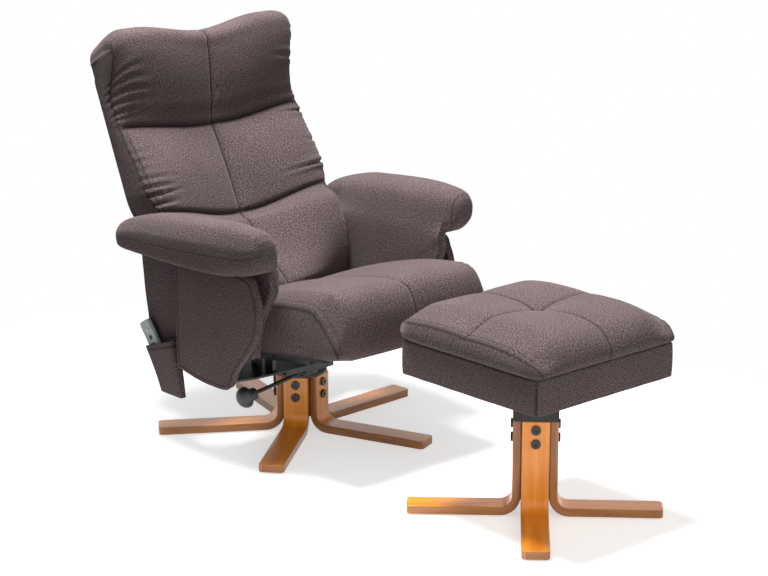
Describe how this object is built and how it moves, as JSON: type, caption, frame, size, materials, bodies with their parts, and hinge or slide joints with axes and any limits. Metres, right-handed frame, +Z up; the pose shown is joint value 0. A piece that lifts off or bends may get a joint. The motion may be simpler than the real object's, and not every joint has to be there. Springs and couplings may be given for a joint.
{
  "type": "reflexology chair",
  "caption": "Fabric swivel recliner with a star base of bent wood, a hand remote in a side pocket and a matching storage footstool.",
  "frame": {"origin": "on the floor, under the swivel axis of the chair", "axes": "+Z up, the sitter faces -Y, the sitter's right is -X; the footstool stands in front, at -Y"},
  "size_m": [0.804, 1.5399, 0.9998],
  "materials": {
    "upholstery": "heathered woven fabric with topstitching",
    "honey_wood": "lacquered laminated bentwood",
    "plywood": "raw plywood",
    "black_steel": "black powder coat",
    "bright_steel": "bright",
    "black_plastic": "matt",
    "charcoal_plastic": "matt, lightly grained",
    "silver_plastic": "satin",
    "rubber": "matt"
  },
  "bodies": {
    "base": {"hub_post": "black_steel", "base_leg_1": "honey_wood", "base_leg_2": "honey_wood", "base_leg_3": "honey_wood", "base_leg_4": "honey_wood", "base_leg_5": "honey_wood", "base_bolts": "black_steel", "base_glides": "rubber", "hub_cap": "black_plastic", "bearing_lower_race": "bright_steel", "bearing_balls": "bright_steel"},
    "carriage": {"bearing_upper_race": "bright_steel", "swivel_spindle": "bright_steel", "mechanism_box": "black_steel", "cross_carrier": "black_steel", "right_side_plate": "black_steel", "left_side_plate": "black_steel", "seat_runners": "black_steel", "hinge_pins": "bright_steel", "right_arm_board": "plywood", "left_arm_board": "plywood", "right_arm_panel": "upholstery", "left_arm_panel": "upholstery", "right_arm_pad": "upholstery", "left_arm_pad": "upholstery", "right_side_shield": "upholstery", "left_side_shield": "upholstery", "right_rear_panel": "upholstery", "left_rear_panel": "upholstery", "side_pocket": "upholstery", "control_box": "black_plastic"},
    "lock_knob": {"recline_knob": "charcoal_plastic", "knob_rod": "bright_steel"},
    "seat": {"seat_board": "plywood", "seat_cushion": "upholstery", "seat_slides": "bright_steel", "seat_motors": "black_plastic"},
    "backrest": {"back_cushion": "upholstery", "back_board": "plywood", "back_cover": "upholstery", "back_arms": "black_steel", "back_motors": "black_plastic"},
    "remote": {"remote_top_shell": "silver_plastic", "remote_bottom_shell": "black_plastic"},
    "power_key": {"button_power": "black_plastic"},
    "mode_key": {"button_mode": "black_plastic"},
    "faster_key": {"button_faster": "black_plastic"},
    "slower_key": {"button_slower": "black_plastic"},
    "footstool": {"stool_post": "black_steel", "stool_leg_1": "honey_wood", "stool_leg_2": "honey_wood", "stool_leg_3": "honey_wood", "stool_leg_4": "honey_wood", "stool_bolts": "black_steel", "stool_glides": "rubber", "stool_box": "plywood", "stool_box_cover": "upholstery"},
    "stool_lid": {"lid_board": "plywood", "lid_cushion": "upholstery", "lid_battens": "plywood"}
  },
  "joints": [
    {"name": "swivel", "type": "hinge", "parent": "base", "child": "carriage", "pos_m": [0, 0, 0.1575], "axis": [0, 0, 1], "continuous": true},
    {"name": "back_recline", "type": "hinge", "parent": "carriage", "child": "backrest", "pos_m": [0, 0.183, 0.257], "axis": [-1, 0, 0], "range_deg": [0, 28]},
    {"name": "seat_glide", "type": "slide", "parent": "carriage", "child": "seat", "axis": [0, -0.9903, 0.1392], "range_m": [0, 0.045]},
    {"name": "lock_knob_turn", "type": "hinge", "parent": "carriage", "child": "lock_knob", "pos_m": [-0.25805, -0.1, 0.15917], "axis": [-0.9903, 0, -0.1392], "range_deg": [0, 270]},
    {"name": "remote_lift", "type": "slide", "parent": "carriage", "child": "remote", "axis": [-0.1045, 0.5122, 0.8525], "range_m": [0, 0.12]},
    {"name": "power_key_press", "type": "slide", "parent": "remote", "child": "power_key", "axis": [0.9945, 0.0538, 0.0896], "range_m": [0, 0.001], "stiffness_N_per_m": 400, "springref_m": -0.0005},
    {"name": "mode_key_press", "type": "slide", "parent": "remote", "child": "mode_key", "axis": [0.9945, 0.0538, 0.0896], "range_m": [0, 0.001], "stiffness_N_per_m": 400, "springref_m": -0.0005},
    {"name": "faster_key_press", "type": "slide", "parent": "remote", "child": "faster_key", "axis": [0.9945, 0.0538, 0.0896], "range_m": [0, 0.001], "stiffness_N_per_m": 400, "springref_m": -0.0005},
    {"name": "slower_key_press", "type": "slide", "parent": "remote", "child": "slower_key", "axis": [0.9945, 0.0538, 0.0896], "range_m": [0, 0.001], "stiffness_N_per_m": 400, "springref_m": -0.0005},
    {"name": "footstool_slide", "type": "slide", "parent": "base", "child": "footstool", "axis": [0, -1, 0], "range_m": [0, 0.4]},
    {"name": "lid_lift", "type": "slide", "parent": "footstool", "child": "stool_lid", "axis": [0, 0, 1], "range_m": [0, 0.15]}
  ],
  "couplings": [
    {"joint": "seat_glide", "follows": "back_recline", "m_per_rad": 0.092}
  ]
}
